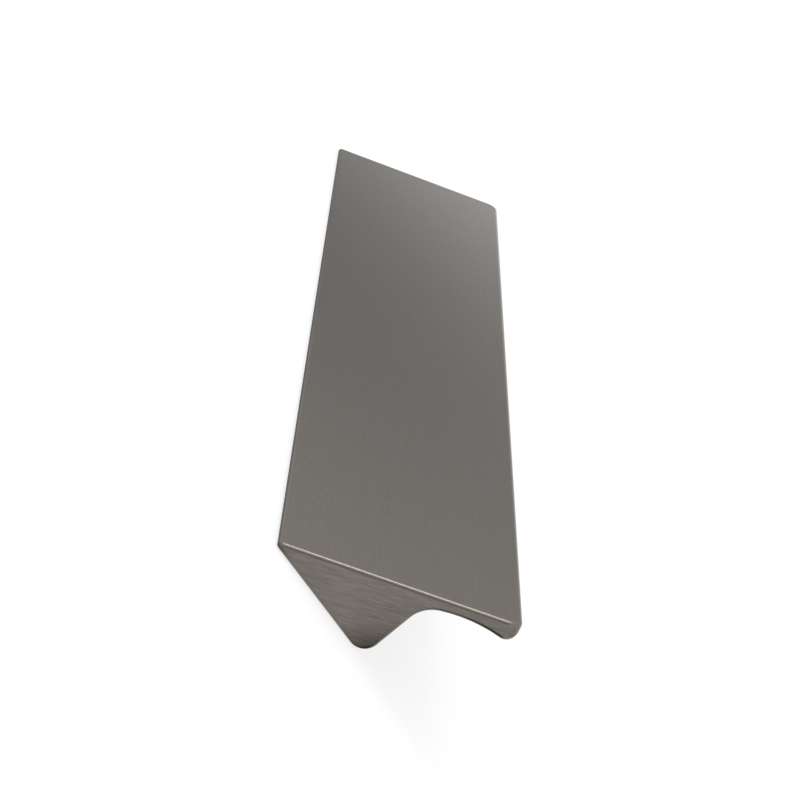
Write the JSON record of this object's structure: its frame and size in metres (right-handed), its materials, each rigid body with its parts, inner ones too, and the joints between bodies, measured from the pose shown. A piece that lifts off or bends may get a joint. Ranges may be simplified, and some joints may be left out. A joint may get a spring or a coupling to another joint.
{
  "type": "tab pull",
  "caption": "Wedge-shaped brushed metal tab pull for a drawer or cupboard door, with a sloping flat front and a thin lip over a finger recess.",
  "frame": {"origin": "on the mounting face, midway between the two screw holes", "axes": "+Z away from the door, +X along the pull, +Y from the thin edge towards the lip"},
  "size_m": [0.2, 0.0336, 0.0238],
  "materials": {
    "brushed_metal": "fine brushed, warm nickel grey"
  },
  "bodies": {
    "root": {"tab_pull": "brushed_metal"}
  },
  "joints": []
}
